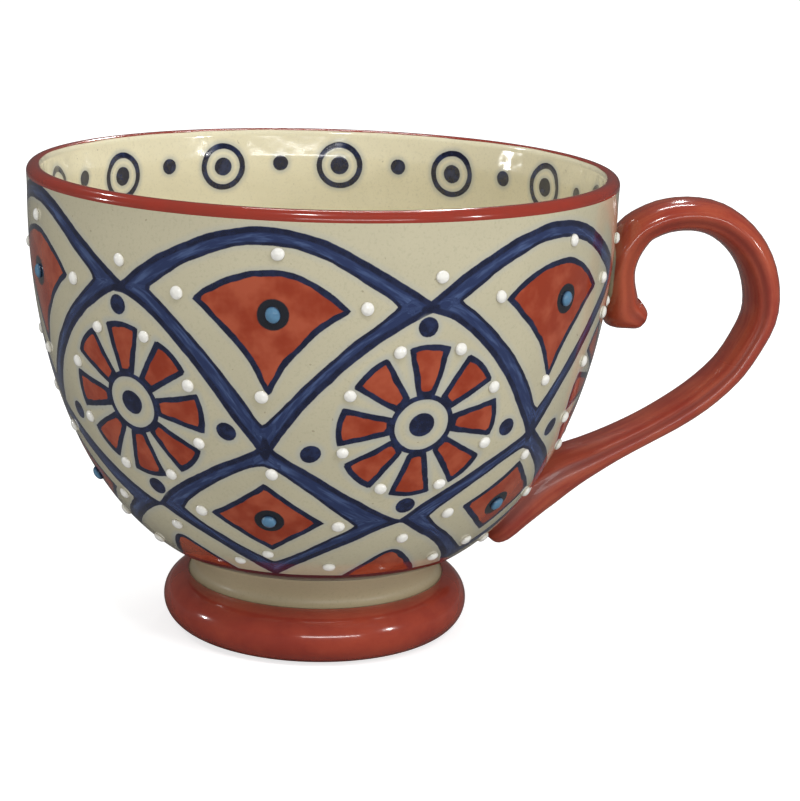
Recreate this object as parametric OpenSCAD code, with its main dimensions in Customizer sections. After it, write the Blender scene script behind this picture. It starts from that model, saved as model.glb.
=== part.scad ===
// A footed stoneware mug with a wide mouth, a pulled strap handle and raised slip dots.
// Millimetres. The origin is on the cup's axis at the table, +Z is up and the handle points along +X.

/* [Cup] */
// Height of the rim above the table
mug_h = 93.4; // [84:1:102]
// Outer radius of the lip
rim_r = 58; // [54:0.5:62]
// How far the lip stands out past the belly
lip_flare = 0.5; // [0.3:0.1:0.8]
// Depth below the rim at which the flare ends and the belly begins to draw in
flare_depth = 6; // [4.5:0.5:8]
// Radius of the lip's round edge
lip_r = 1.6; // [1.4:0.1:1.8]
// Wall thickness below the lip
wall_t = 3.6; // [3.4:0.1:4.4]
// Thickness of the floor at its middle
floor_t = 6; // [5:0.5:8]
// Height of the waist, where the bowl meets its foot
waist_h = 18; // [16:0.5:20]
// Radius of the bowl at the waist
waist_r = 30.4; // [28:0.2:33]

/* [Foot] */
// How far the foot ring stands out past the waist
foot_flare = 0.4; // [0:0.1:2]
// Radius of the foot ring's round section
ring_r = 5.4; // [4.8:0.1:5.8]
// Width of the foot ring, from its outside to the recess at the table
foot_w = 9.1; // [8:0.1:11]
// How far the top of the neck lies inside the waist
neck_step = 1; // [0.8:0.1:3]
// How far inside the waist the cove of the neck would turn
cove_in = 7.8; // [6.5:0.1:9]
// How far above the foot ring the cove of the neck would turn
cove_rise = 1.6; // [1:0.1:2.5]
// How far the wall of the recess draws in towards its top
recess_draft = 3.3; // [2:0.1:5]
// Height of the top of the recess's wall
recess_wall_h = 8; // [6:0.5:8.5]
// Height of the recess at its middle
recess_h = 10; // [9:0.5:12]

/* [Handle] */
// How far the middle of the strap stands out of the wall
handle_reach = 33.8; // [29:0.2:38]
// Depth of the middle of the strap below the rim, at the top of the arch
arch_depth = 8.5; // [7.5:0.5:10]
// How far the end of the tail lies below the waist
tail_past = 0.5; // [0:0.1:1.2]
// Thickness of the strap, in the plane of the handle
strap_t = 6.9; // [6:0.1:7.8]
// Width of the strap, across the plane of the handle
strap_w = 13.4; // [12:0.2:15]
// Share of the strap's half width that each side channel cuts away
channel_share = 0.085; // [0.04:0.005:0.12]

/* [Slip and glaze] */
// Thickness of the slip that lutes the pieces
slip_t = 0.4; // [0.3:0.05:0.5]
// Thickness of the red glaze on the lip and the foot ring
glaze_t = 0.3; // [0.2:0.05:0.4]
// Height of the red glaze band's edge above the centre of the lip's round
band_rise = 0.15; // [0.1:0.05:0.6]
// Share of the strap's width that the slip under its joints takes
joint_slip_share = 0.69; // [0.5:0.01:0.72]

/* [Dots] */
// Number of repeats of the ornament round the cup
repeats = 6; // [4:1:8]
// Turn of the first fan of the ornament from the handle, in degrees
first_fan = 14.6; // [10:0.2:20]
// Radius of a raised white slip dot
dot_r = 1.3; // [1:0.1:1.5]
// Height of a raised white slip dot
dot_h = 0.8; // [0.6:0.1:1]
// Radius of a turquoise bead
bead_r = 1.6; // [1.3:0.1:1.9]
// Height of a turquoise bead
bead_h = 1; // [0.8:0.1:1.2]
// Radius of the circle on which a wheel's dots lie
wheel_r = 15.1; // [13:0.1:15.4]
// Clear width left between a dot and the handle's joints
dot_gap = 0.8; // [0.5:0.1:1.5]

/* [Hidden] */
$fn = 96;

clay = "#cbc2a8";
slip = "#e2dccb";
brick = "#a53f2c";
white = "#f2efe6";
turquoise = "#5a9cc4";

// Running clearance between pieces that are seated on a curve
seat_clear = 0.02;
// Half the span over which the wall's slope is taken
probe = 0.05;

// Outer wall of the bowl

belly_r = rim_r - lip_flare;
belly_power = 2;
belly_root = 2.75;
waist_share = sqrt(1 - pow(waist_r / belly_r, belly_root));
curve_depth = (mug_h - waist_h - flare_depth) / waist_share;

// Radius of the outer wall at a depth below the rim: a flaring lip over a belly that closes like a root
function wall_r(depth) =
    let (share = (depth - flare_depth) / curve_depth)
    share > 0 ? belly_r * pow(1 - pow(share, belly_power), 1 / belly_root)
        : belly_r + lip_flare * pow(min(1, (flare_depth - depth) / (flare_depth - lip_r)), 2);

// Slope of the outer wall at a depth: radius lost for each unit of depth
function wall_slope(depth) = (wall_r(depth - probe) - wall_r(depth + probe)) / (2 * probe);

wall_steps = 60;
wall_points = [for (i = [0:wall_steps])
    let (depth = (mug_h - waist_h) * i / wall_steps) [wall_r(depth), mug_h - depth]];

// Depth below the rim for each length measured down along the wall
depth_by_length = [for (i = 0, s = 0; i <= wall_steps;
    s = i < wall_steps ? s + norm(wall_points[i + 1] - wall_points[i]) : s, i = i + 1)
    [s, mug_h - wall_points[i][1]]];
wall_len = depth_by_length[wall_steps][0];

// Inner wall of the bowl

inner_r = belly_r - wall_t;
floor_h = waist_h + floor_t;
inner_power = 2.4;
inner_step_deg = 3;
inner_points = [for (a = [0:inner_step_deg:90])
    [inner_r * pow(1 - pow(sin(a), inner_power), 1 / belly_root),
        mug_h - flare_depth - (mug_h - flare_depth - floor_h) * sin(a)]];

// Lip, with a step on each side where the red glaze begins

lip_c = [wall_r(lip_r) - lip_r, mug_h - lip_r];
lip_core_r = lip_r - glaze_t;
glaze_deg = asin(band_rise / lip_r);
core_deg = asin(band_rise / lip_core_r);
arc_steps = 16;
edge_steps = 1;

// Points along an arc, from one angle to another
function arc(centre, radius, from_deg, to_deg, steps = arc_steps) =
    [for (i = [0:steps]) let (a = from_deg + (to_deg - from_deg) * i / steps)
        centre + radius * [cos(a), sin(a)]];

module bowl() {
    color(clay) rotate_extrude() polygon(concat(
        [[0, waist_h]],
        [for (i = [wall_steps:-1:0]) if (wall_points[i][1] < lip_c[1]) wall_points[i]],
        arc(lip_c, lip_r, 0, glaze_deg, edge_steps),
        arc(lip_c, lip_core_r, core_deg, 180 - core_deg),
        arc(lip_c, lip_r, 180 - glaze_deg, 180, edge_steps),
        inner_points));
}

module rim_glaze() {
    color(brick) rotate_extrude() polygon(concat(
        arc(lip_c, lip_r, glaze_deg, 180 - glaze_deg),
        arc(lip_c, lip_core_r, 180 - core_deg, core_deg)));
}

// Foot: a coved neck over a round ring, hollow underneath

foot_top = waist_h - slip_t;
foot_r = waist_r + foot_flare;
neck_top_r = waist_r - neck_step;
cove_aim = [waist_r - cove_in, 2 * ring_r + cove_rise];
recess_r = foot_r - foot_w;
recess_top_r = recess_r - recess_draft;
ring_c = [foot_r - ring_r, ring_r];
foot_glaze_from = -72;
foot_glaze_to = 86;
cove_steps = 14;
toe_steps = 3;
ring_steps = 26;

// Points along a curve that leaves one point and reaches another, both aimed at a third
function bend(from, aim, to, steps) = [for (i = [0:steps]) let (t = i / steps)
    pow(1 - t, 2) * from + 2 * t * (1 - t) * aim + pow(t, 2) * to];

module pedestal_foot() {
    ring_top = ring_c + ring_r * [cos(foot_glaze_to), sin(foot_glaze_to)];
    color(clay) rotate_extrude() polygon(concat(
        [[recess_r, 0]],
        arc(ring_c, ring_r, -90, foot_glaze_from, toe_steps),
        arc(ring_c, ring_r - glaze_t, foot_glaze_from, foot_glaze_to, ring_steps),
        bend(ring_top, cove_aim, [neck_top_r, foot_top], cove_steps),
        [[0, foot_top]],
        bend([0, recess_h], [recess_top_r, recess_h], [recess_top_r, recess_wall_h], cove_steps)));
}

module foot_glaze() {
    color(brick) rotate_extrude() polygon(concat(
        arc(ring_c, ring_r, foot_glaze_from, foot_glaze_to, ring_steps),
        arc(ring_c, ring_r - glaze_t, foot_glaze_to, foot_glaze_from, ring_steps)));
}

module foot_slip() {
    color(slip) translate([0, 0, foot_top]) cylinder(r = neck_top_r, h = slip_t);
}

// Handle: one strap, from the curled spur under its upper joint, over the arch, down to the tail.
// Each row has four shares: of the reach outside the wall, of the drop below the arch,
// of the strap's thickness and of its width.

strap_shares = [
    [0.283, 0.345, 0.09, 0.2],
    [0.281, 0.343, 0.29, 0.42],
    [0.275, 0.339, 0.49, 0.58],
    [0.265, 0.333, 0.67, 0.7],
    [0.247, 0.326, 0.86, 0.8],
    [0.205, 0.317, 1.1, 0.88],
    [0.162, 0.303, 1.22, 0.92],
    [0.137, 0.28, 1.11, 0.94],
    [0.127, 0.258, 1, 0.95],
    [0.101, 0.209, 0.9, 0.96],
    [0.088, 0.164, 0.93, 0.97],
    [0.103, 0.117, 0.96, 0.98],
    [0.149, 0.072, 0.96, 0.99],
    [0.214, 0.042, 0.9, 1],
    [0.343, 0.015, 0.92, 1],
    [0.504, 0.008, 0.95, 1],
    [0.656, 0.025, 1.01, 1],
    [0.803, 0.074, 1.03, 1],
    [0.917, 0.145, 1.02, 1],
    [0.988, 0.229, 0.99, 1],
    [1.015, 0.313, 0.93, 1],
    [0.982, 0.394, 0.87, 1],
    [0.92, 0.478, 0.85, 0.99],
    [0.817, 0.552, 0.86, 0.98],
    [0.691, 0.614, 0.86, 0.96],
    [0.556, 0.666, 0.83, 0.95],
    [0.424, 0.712, 0.89, 0.96],
    [0.306, 0.754, 1.07, 0.99],
    [0.198, 0.794, 1.34, 1.01],
    [0.128, 0.842, 1.46, 1.01],
    [0.112, 0.89, 1.31, 0.99],
    [0.112, 0.928, 1.21, 0.96],
    [0.122, 0.954, 1.16, 0.92],
    [0.14, 0.977, 1.05, 0.81],
    [0.154, 0.995, 0.75, 0.57],
    [0.159, 1, 0.26, 0.21]];
strap_rows = len(strap_shares);
handle_drop = mug_h - waist_h - arch_depth + tail_past;
strap_cuts = 3;
// Sections of the spur's end that all lie parallel
spur_rings = 18;
section_count = 28;
section_power = 2.2;
channel_deg = 103;
channel_half_deg = 11;

// A row of the table as [radius, height, thickness, width]
function strap_station(row) =
    let (depth = arch_depth + row[1] * handle_drop)
    [wall_r(depth) + row[0] * handle_reach, mug_h - depth, row[2] * strap_t, row[3] * strap_w];

strap_stations = [for (row = strap_shares) strap_station(row)];

// A smooth curve through four stations, from the second to the third
function through(a, b, c, d, t) =
    0.5 * (2 * b + (c - a) * t + (2 * a - 5 * b + 4 * c - d) * pow(t, 2)
        + (3 * b - a - 3 * c + d) * pow(t, 3));

function station_at(i) = strap_stations[max(0, min(strap_rows - 1, i))];

strap_path = [for (i = [0:strap_rows - 2], j = [0:strap_cuts - 1])
    through(station_at(i - 1), station_at(i), station_at(i + 1), station_at(i + 2), j / strap_cuts),
    station_at(strap_rows - 1)];
strap_rings = len(strap_path);

// Half of a rounded strap section at an angle, as shares of its half thickness and half width
function section(a) =
    let (fold = a > 180 ? 360 - a : a,
        cut = 1 - channel_share * exp(-pow((fold - channel_deg) / channel_half_deg, 2)))
    [sign(cos(a)) * pow(abs(cos(a)), 2 / section_power),
        cut * sign(sin(a)) * pow(abs(sin(a)), 2 / section_power)];

// A point that lies inside the wall moves straight out onto the slip
function seat(p) =
    let (away = norm([p.x, p.y]), seat_r = wall_r(mug_h - p.z) + slip_t + seat_clear)
    away < seat_r ? [p.x * seat_r / away, p.y * seat_r / away, p.z] : p;

function ring_at(i) =
    let (here = strap_path[i],
        turned = max(i, spur_rings),
        step = strap_path[min(strap_rings - 1, turned + 1)] - strap_path[turned - 1],
        along = [step[0], step[1]] / norm([step[0], step[1]]),
        out = [-along[1], along[0]])
    [for (k = [0:section_count - 1])
        let (s = section(360 * k / section_count),
            q = s[0] * here[2] / 2)
        seat([here[0] + out[0] * q, s[1] * here[3] / 2, here[1] + out[1] * q])];

function middle(i) = seat([strap_path[i][0], 0, strap_path[i][1]]);

module handle() {
    points = concat([for (i = [0:strap_rings - 1]) each ring_at(i)], [middle(0), middle(strap_rings - 1)]);
    last = (strap_rings - 1) * section_count;
    sides = [for (i = [0:strap_rings - 2], k = [0:section_count - 1])
        let (a = i * section_count + k, b = i * section_count + (k + 1) % section_count)
        each [[a, b, a + section_count], [b, b + section_count, a + section_count]]];
    ends = [for (k = [0:section_count - 1]) let (n = (k + 1) % section_count)
        each [[n, k, last + section_count], [last + k, last + n, last + section_count + 1]]];
    color(brick) polyhedron(points, concat(sides, ends), convexity = 8);
}

// Slip under the joints: thin sectors that follow the wall

root_slip_shares = [0.1, 0.31];
tail_slip_shares = [0.8, 0.975];

module joint_slip(drop_shares) {
    from = arch_depth + drop_shares[0] * handle_drop;
    to = arch_depth + drop_shares[1] * handle_drop;
    skin = [for (p = wall_points) if (mug_h - p[1] >= from && mug_h - p[1] <= to) p];
    outer = [for (i = [len(skin) - 1:-1:0]) skin[i] + [slip_t, 0]];
    half_deg = asin(joint_slip_share * strap_w / 2 / skin[len(skin) - 1][0]);
    color(slip) rotate([0, 0, -half_deg]) rotate_extrude(angle = 2 * half_deg) polygon(concat(skin, outer));
}

module handle_upper_slip() {
    joint_slip(root_slip_shares);
}

module handle_lower_slip() {
    joint_slip(tail_slip_shares);
}

// Raised dots. Places are shares of one repeat's width at the belly and of the length down the wall,
// from the middle of a fan or of a wheel.

pitch_deg = 360 / repeats;
pitch_w = 2 * PI * belly_r / repeats;
first_wheel = first_fan + pitch_deg / 2;
wheel_place_shares = [-0.003, 0.469];
wheel_dot_count = 8;
crossing_dot_shares = [[0.015, 0.139]];
fan_dot_shares = [[0.03, 0.093], [-0.277, 0.192], [0.29, 0.204], [-0.018, 0.409]];
diamond_dot_shares = [[0.002, 0.601], [-0.239, 0.731], [0.189, 0.749], [-0.04, 0.861]];
skirt_dot_shares = [[0.02, 0.799], [-0.174, 0.907], [0.179, 0.905]];
fan_bead_shares = [[0.018, 0.22]];
diamond_bead_shares = [[-0.017, 0.743]];
root_clear_shares = [0.02, 0.38];
tail_clear_share = 0.72;

// Places in millimetres from a table of shares
function places(shares) = [for (p = shares) [p[0] * pitch_w, p[1] * wall_len]];

wheel_places = [for (k = [0:wheel_dot_count - 1]) let (a = 360 * (k + 0.5) / wheel_dot_count)
    [wheel_place_shares[0] * pitch_w + wheel_r * cos(a), wheel_place_shares[1] * wall_len + wheel_r * sin(a)]];

// Whether a dot at a turn from the handle and a depth would run into a joint of the handle
function meets_handle(turn, depth) =
    let (drop_share = (depth - arch_depth) / handle_drop,
        at_joint = (drop_share > root_clear_shares[0] && drop_share < root_clear_shares[1])
            || drop_share > tail_clear_share)
    at_joint && cos(turn) > 0 && abs(wall_r(depth) * sin(turn)) < strap_w / 2 + dot_r + dot_gap;

dome_steps = 6;
dome_sides = 32;

// A flat-bottomed dome, standing on the XY plane
module dome(radius, height) {
    rotate_extrude($fn = dome_sides) polygon(concat([[0, 0]],
        [for (i = [0:dome_steps]) let (a = 90 * i / dome_steps) [radius * cos(a), height * sin(a)]]));
}

// A row of domes on the wall, one set of places for each repeat
module domes(first_deg, spots, radius, height) {
    for (n = [0:repeats - 1], spot = spots) {
        depth = lookup(spot[1], depth_by_length);
        turn = first_deg + n * pitch_deg + spot[0] / wall_r(depth) * 180 / PI;
        if (!meets_handle(turn, depth))
            rotate([0, 0, turn]) translate([wall_r(depth), 0, mug_h - depth])
                rotate([0, 90 + atan(wall_slope(depth)), 0]) dome(radius, height);
    }
}

module crossing_dots() {
    color(white) domes(first_wheel, places(crossing_dot_shares), dot_r, dot_h);
}

module fan_dots() {
    color(white) domes(first_fan, places(fan_dot_shares), dot_r, dot_h);
}

module wheel_dots() {
    color(white) domes(first_wheel, wheel_places, dot_r, dot_h);
}

module diamond_dots() {
    color(white) domes(first_fan, places(diamond_dot_shares), dot_r, dot_h);
}

module skirt_dots() {
    color(white) domes(first_wheel, places(skirt_dot_shares), dot_r, dot_h);
}

module fan_beads() {
    color(turquoise) domes(first_fan, places(fan_bead_shares), bead_r, bead_h);
}

module diamond_beads() {
    color(turquoise) domes(first_fan, places(diamond_bead_shares), bead_r, bead_h);
}

bowl();
pedestal_foot();
foot_slip();
foot_glaze();
rim_glaze();
handle();
handle_upper_slip();
handle_lower_slip();
crossing_dots();
fan_dots();
wheel_dots();
diamond_dots();
skirt_dots();
fan_beads();
diamond_beads();
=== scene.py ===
"""Dresses a footed stoneware mug: bowl, painted ornament, slip dots, lip, foot and strap handle."""

import math

import bmesh
import bpy
import numpy as np
from mathutils import Matrix, Vector


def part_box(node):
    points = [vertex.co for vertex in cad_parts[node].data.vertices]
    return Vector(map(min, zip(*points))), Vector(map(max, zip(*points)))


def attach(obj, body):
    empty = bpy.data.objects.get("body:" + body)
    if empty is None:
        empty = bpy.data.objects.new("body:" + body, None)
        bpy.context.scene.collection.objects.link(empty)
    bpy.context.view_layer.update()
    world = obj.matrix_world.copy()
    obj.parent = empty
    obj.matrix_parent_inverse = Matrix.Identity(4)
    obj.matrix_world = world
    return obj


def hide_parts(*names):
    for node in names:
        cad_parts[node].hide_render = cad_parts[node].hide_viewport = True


bl_info = {
    "name": "Footed Stoneware Mug",
    "version": (1, 0, 0),
    "blender": (4, 5, 0),
    "location": "View3D > Sidebar > Mug",
    "description": "Models, glazes and lights a footed stoneware mug round its packed solids",
    "category": "Object",
}

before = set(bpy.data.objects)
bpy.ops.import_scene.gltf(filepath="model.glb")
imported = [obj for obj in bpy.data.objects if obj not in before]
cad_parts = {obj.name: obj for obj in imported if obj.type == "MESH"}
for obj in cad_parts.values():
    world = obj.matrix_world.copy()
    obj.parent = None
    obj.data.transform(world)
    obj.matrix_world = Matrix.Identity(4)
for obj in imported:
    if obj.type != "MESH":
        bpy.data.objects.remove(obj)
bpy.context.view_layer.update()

MM = 0.001
MERGE = 0.001 * MM
FULL_TURN = 2 * math.pi
BODY = "root"

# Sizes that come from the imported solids
MUG_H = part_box("rim_glaze")[1].z
WAIST_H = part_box("bowl")[0].z
FOOT_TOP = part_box("pedestal_foot")[1].z
FOOT_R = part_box("foot_glaze")[1].x

# Outer wall of the bowl: a flared lip over a belly that closes like a root
LIP_FLARE = 0.15 * MM
BELLY_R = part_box("bowl")[1].x - 0.5 * MM
RIM_R = BELLY_R + LIP_FLARE
FLARE_DEPTH = 6 * MM
LIP_R = 1.6 * MM
WALL_T = 3.6 * MM
FLOOR_T = 6 * MM
WAIST_R = 30.4 * MM
WALL_ROOT = 2.75
WALL_END = 0.999
WAIST_SHARE = math.sqrt(1 - (WAIST_R / BELLY_R) ** WALL_ROOT)
CURVE_DEPTH = (MUG_H - WAIST_H - FLARE_DEPTH) / WAIST_SHARE
INNER_DEPTH = MUG_H - FLARE_DEPTH - WAIST_H - FLOOR_T
INNER_POWER = 2.4
WALL_SAMPLES = 4000


def turn_faces_out():
    """Turns the faces of the piece in edit mode outwards, and leaves edit mode."""
    bpy.ops.mesh.select_all(action="SELECT")
    bpy.ops.mesh.normals_make_consistent(inside=False)
    bpy.ops.object.mode_set(mode="OBJECT")


def coordinates(obj):
    """All vertices of a mesh as one array."""
    flat = np.empty(len(obj.data.vertices) * 3)
    obj.data.vertices.foreach_get("co", flat)
    return flat.reshape(-1, 3)


def place_vertices(obj, points):
    """Writes an array of places back to a mesh."""
    obj.data.vertices.foreach_set("co", np.asarray(points, float).ravel())
    obj.data.update()


def point_values(obj, name, values):
    """Stores one number for each vertex as a named attribute."""
    layer = obj.data.attributes.new(name, "FLOAT", "POINT")
    layer.data.foreach_set("value", np.asarray(values, np.float32).ravel())


def dress(obj, name, material, slot, *nodes):
    """Names a finished piece, smooths it, glazes it and seats it in the frame."""
    obj.name = name
    obj.data.name = name
    obj.data.materials.clear()
    obj.data.materials.append(material)
    obj.data.polygons.foreach_set("use_smooth", [True] * len(obj.data.polygons))
    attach(obj, BODY)
    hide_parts(*nodes)


def wall_r(depth):
    """Radius of the outer wall at a depth below the rim."""
    depth = np.asarray(depth, float)
    share = np.clip((depth - FLARE_DEPTH) / CURVE_DEPTH, 0, WALL_END)
    flare = np.clip((FLARE_DEPTH - depth) / (FLARE_DEPTH - LIP_R), 0, 1)
    belly = BELLY_R * (1 - share ** 2) ** (1 / WALL_ROOT)
    lip = BELLY_R + LIP_FLARE * flare ** 2
    return np.where(depth > FLARE_DEPTH, belly, lip)


def wall_walk(first_depth):
    """Many depths from one down to the waist, and the length of wall walked to each."""
    depth = np.linspace(first_depth, MUG_H - WAIST_H, WALL_SAMPLES)
    steps = np.hypot(np.diff(depth), np.diff(wall_r(depth)))
    return depth, np.concatenate([[0], np.cumsum(steps)])


def smooth_spans(points, cuts):
    """Smooth spans through rows of numbers, of which the first and the last only steer the ends."""
    t = np.linspace(0, 1, cuts + 1)[:-1, None]
    spans = []
    for a, b, c, d in zip(points, points[1:], points[2:], points[3:]):
        bend_2, bend_3 = 2 * a - 5 * b + 4 * c - d, 3 * b - a - 3 * c + d
        spans.append(0.5 * (2 * b + (c - a) * t + bend_2 * t ** 2 + bend_3 * t ** 3))
    return spans


def arc(centre, radius, from_deg, to_deg, steps):
    """Points along an arc in the plane of a profile."""
    turns = np.radians(np.linspace(from_deg, to_deg, steps + 1))
    return [(centre[0] + radius * math.cos(a), centre[1] + radius * math.sin(a)) for a in turns]


def bend(start, aim, end, steps):
    """Points along a curve that leaves start and reaches end, both aimed at one point."""
    return [
        tuple((1 - t) ** 2 * a + 2 * t * (1 - t) * b + t * t * c for a, b, c in zip(start, aim, end))
        for t in np.linspace(0, 1, steps + 1)
    ]


def spin_profile(profile, steps):
    """Throws a closed profile of (radius, height) points round the cup's axis."""
    bpy.ops.object.select_all(action="DESELECT")
    bpy.ops.mesh.primitive_circle_add(vertices=len(profile), radius=RIM_R, fill_type="NOTHING")
    obj = bpy.context.object
    place_vertices(obj, [(r, 0, z) for r, z in profile])
    bpy.ops.object.mode_set(mode="EDIT")
    bpy.ops.mesh.select_all(action="SELECT")
    bpy.ops.mesh.spin(steps=steps, angle=FULL_TURN, center=(0, 0, 0), axis=(0, 0, 1))
    bpy.ops.mesh.select_all(action="SELECT")
    bpy.ops.mesh.remove_doubles(threshold=MERGE)
    bpy.ops.mesh.dissolve_degenerate(threshold=MERGE)
    bpy.ops.mesh.select_all(action="SELECT")
    bpy.ops.mesh.delete_loose(use_verts=True, use_edges=True, use_faces=False)
    turn_faces_out()
    return obj


# Bowl

BOWL_TURNS = 540
WALL_RINGS = 124
FRIEZE_RINGS = 15
FRIEZE_DEPTH = 14 * MM
BASIN_RINGS = 13
THROAT_RINGS = 6
LIP_ARC_STEPS = 12
LIP_INSET = 0.06 * MM
LIP_CENTRE = (RIM_R - LIP_R, MUG_H - LIP_R)
LIP_GLAZE_DEG = (-22, 126)
LIP_GLAZE_THIN_DEG = 4
LIP_GLAZE_STEPS = (24, 20)
LIP_GLAZE_TURNS = 360
# The brushed edge of the lip's glaze: how far it sways, how far up the swaying reaches, and its waves
LIP_SWAY_DEG = 5
LIP_SWAY_REACH_DEG = 30
LIP_WAVES = ((0.5, 5, 1), (0.35, 11, 2), (0.25, 27, 1))
LIP_WAVE_STARTS = (1.0, 2.3)


def wall_profile():
    """The outer wall from the waist up to the lip, in even steps along its skin."""
    depth, length = wall_walk(LIP_R)
    even = np.interp(np.linspace(length[-1], 0, WALL_RINGS + 1), length, depth)
    return [(float(wall_r(d)), MUG_H - d) for d in even]


def inner_r(depth):
    """Radius of the inner wall at a depth below the rim."""
    share = np.clip((np.asarray(depth, float) - FLARE_DEPTH) / INNER_DEPTH, 0, 1)
    return (BELLY_R - WALL_T) * (1 - share ** INNER_POWER) ** (1 / WALL_ROOT)


def bowl_profile():
    """Closed outline of the bowl's section: outer wall, lip, inner wall, floor and underside."""
    outer = wall_profile()[:-1]
    round_lip = arc(LIP_CENTRE, LIP_R - LIP_INSET, 0, 180, LIP_ARC_STEPS)
    inside_lip = RIM_R - 2 * LIP_R + LIP_INSET
    throat = []
    for share in np.linspace(0, 1, THROAT_RINGS + 2)[1:-1]:
        radius = inside_lip + (BELLY_R - WALL_T - inside_lip) * share
        throat.append((radius, MUG_H - LIP_R - (FLARE_DEPTH - LIP_R) * share))
    frieze_depths = np.linspace(FLARE_DEPTH, FRIEZE_DEPTH, FRIEZE_RINGS)
    frieze = [(float(inner_r(depth)), MUG_H - depth) for depth in frieze_depths]
    start = math.asin((FRIEZE_DEPTH - FLARE_DEPTH) / INNER_DEPTH)
    basin = []
    for turn in np.linspace(start, math.pi / 2, BASIN_RINGS + 1)[1:]:
        depth = FLARE_DEPTH + INNER_DEPTH * math.sin(turn)
        basin.append((float(inner_r(depth)), MUG_H - depth))
    return [(0, WAIST_H)] + outer + round_lip + throat + frieze + basin


def lip_glaze_profile(glaze_t):
    """Section of the red glaze over the lip, thinning out at both edges."""
    (start, end), (front_steps, back_steps) = LIP_GLAZE_DEG, LIP_GLAZE_STEPS
    thin = LIP_GLAZE_THIN_DEG
    back = arc(LIP_CENTRE, LIP_R - glaze_t, end - thin, start + thin, back_steps)
    return arc(LIP_CENTRE, LIP_R, start, end, front_steps) + back


def sway_edges(obj):
    """Lets both edges of the lip's glaze sway as a brush does."""
    p = coordinates(obj)
    around = np.arctan2(p[:, 1], p[:, 0])
    reach = np.hypot(p[:, 0], p[:, 1]) - LIP_CENTRE[0]
    rise = p[:, 2] - LIP_CENTRE[1]
    tilt, size = np.arctan2(rise, reach), np.hypot(rise, reach)
    for edge_deg, first in zip(LIP_GLAZE_DEG, LIP_WAVE_STARTS):
        away = np.abs(tilt - math.radians(edge_deg))
        near = np.clip(1 - away / math.radians(LIP_SWAY_REACH_DEG), 0, 1)
        sway = sum(share * np.sin(count * around + phase * first) for share, count, phase in LIP_WAVES)
        tilt = tilt + near * math.radians(LIP_SWAY_DEG) * sway
    reach = LIP_CENTRE[0] + size * np.cos(tilt)
    height = LIP_CENTRE[1] + size * np.sin(tilt)
    place_vertices(obj, np.stack([reach * np.cos(around), reach * np.sin(around), height], 1))


# Ornament. Places are millimetres across the wall from the middle of a column, and down along the wall
# from the rim. A closed shape is a row of smooth sides, each starting where the one before it ends.
# FAN, DIAMOND, SKIRT and PETAL are the outer edges of the dark outlines round the red fills.

REPEATS = 6
FIRST_FAN_DEG = 14.6
FIRST_WHEEL_DEG = FIRST_FAN_DEG + 180 / REPEATS
FAN_CELL = (
    ((-28.6, 15.2), (-24.7, 12.2), (-20.5, 9.5), (-15.1, 6.8), (-11.3, 5.1), (-8.0, 4.2), (-4.7, 3.4),
     (-1.7, 3.0), (2.4, 3.2), (5.8, 3.8), (10.3, 5.1), (14.1, 6.9), (17.0, 8.5), (20.3, 10.4),
     (23.7, 12.5), (27.0, 14.6), (29.2, 16.0), (30.7, 16.7)),
    ((30.7, 17.7),),
    ((28.5, 18.3), (25.3, 19.9), (20.3, 23.0), (15.3, 26.8), (11.2, 30.8), (7.0, 35.3), (3.7, 39.7),
     (0.7, 44.5), (-0.9, 47.4)),
    ((-2.5, 44.6), (-4.2, 42.0), (-7.2, 38.0), (-10.5, 33.1), (-14.7, 27.9), (-19.2, 23.3),
     (-23.8, 19.6), (-28.0, 17.8), (-30.7, 17.5)),
    ((-30.7, 16.7),),
)
FAN_HOLE = (
    ((-19.2, 13.3), (-15.1, 10.6), (-11.3, 8.9), (-7.6, 7.4), (-4.7, 6.6), (-1.3, 6.3), (2.4, 6.4),
     (5.8, 7.0), (10.3, 8.6), (14.1, 10.6), (18.2, 13.3), (21.2, 15.2), (23.0, 16.9)),
    ((19.5, 19.7), (15.3, 22.9), (11.2, 26.7), (7.0, 30.8), (3.7, 34.5), (0.3, 38.3), (-1.0, 39.7)),
    ((-2.2, 38.4), (-4.2, 35.3), (-7.2, 31.2), (-10.5, 27.1), (-14.7, 22.8), (-18.8, 19.0),
     (-22.8, 15.8)),
)
DIAMOND_CELL = (
    ((0.8, 44.7), (3.7, 47.0), (7.8, 49.8), (12.0, 53.1), (16.2, 56.4), (19.5, 59.0), (22.2, 60.8),
     (24.4, 61.1)),
    ((24.4, 61.9),),
    ((22.2, 62.2), (18.2, 64.1), (14.1, 66.6), (9.5, 69.6), (5.3, 72.8), (2.0, 75.8), (-0.9, 79.1),
     (-2.0, 80.6)),
    ((-5.5, 76.1), (-8.0, 73.4), (-11.3, 70.3), (-15.5, 67.1), (-20.1, 64.2), (-23.0, 62.3),
     (-24.4, 61.9)),
    ((-24.4, 61.1),),
    ((-23.6, 60.2), (-21.8, 57.8), (-18.4, 54.8), (-14.2, 51.7), (-10.1, 49.0), (-5.9, 46.7),
     (-2.5, 44.7), (-0.9, 41.6)),
)
DIAMOND_HOLE = (
    ((1.2, 49.5), (3.7, 51.5), (7.8, 55.1), (11.2, 58.8), (13.3, 60.9), (14.5, 62.4)),
    ((12.0, 64.2), (7.8, 67.1), (3.7, 70.4), (-0.9, 73.9), (-1.8, 74.3)),
    ((-3.4, 73.0), (-7.2, 69.9), (-11.3, 66.6), (-15.1, 63.8), (-18.3, 61.0)),
    ((-16.8, 58.7), (-13.4, 55.4), (-10.1, 52.8), (-6.3, 50.3), (-3.0, 48.7), (-1.3, 48.3)),
)
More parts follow.
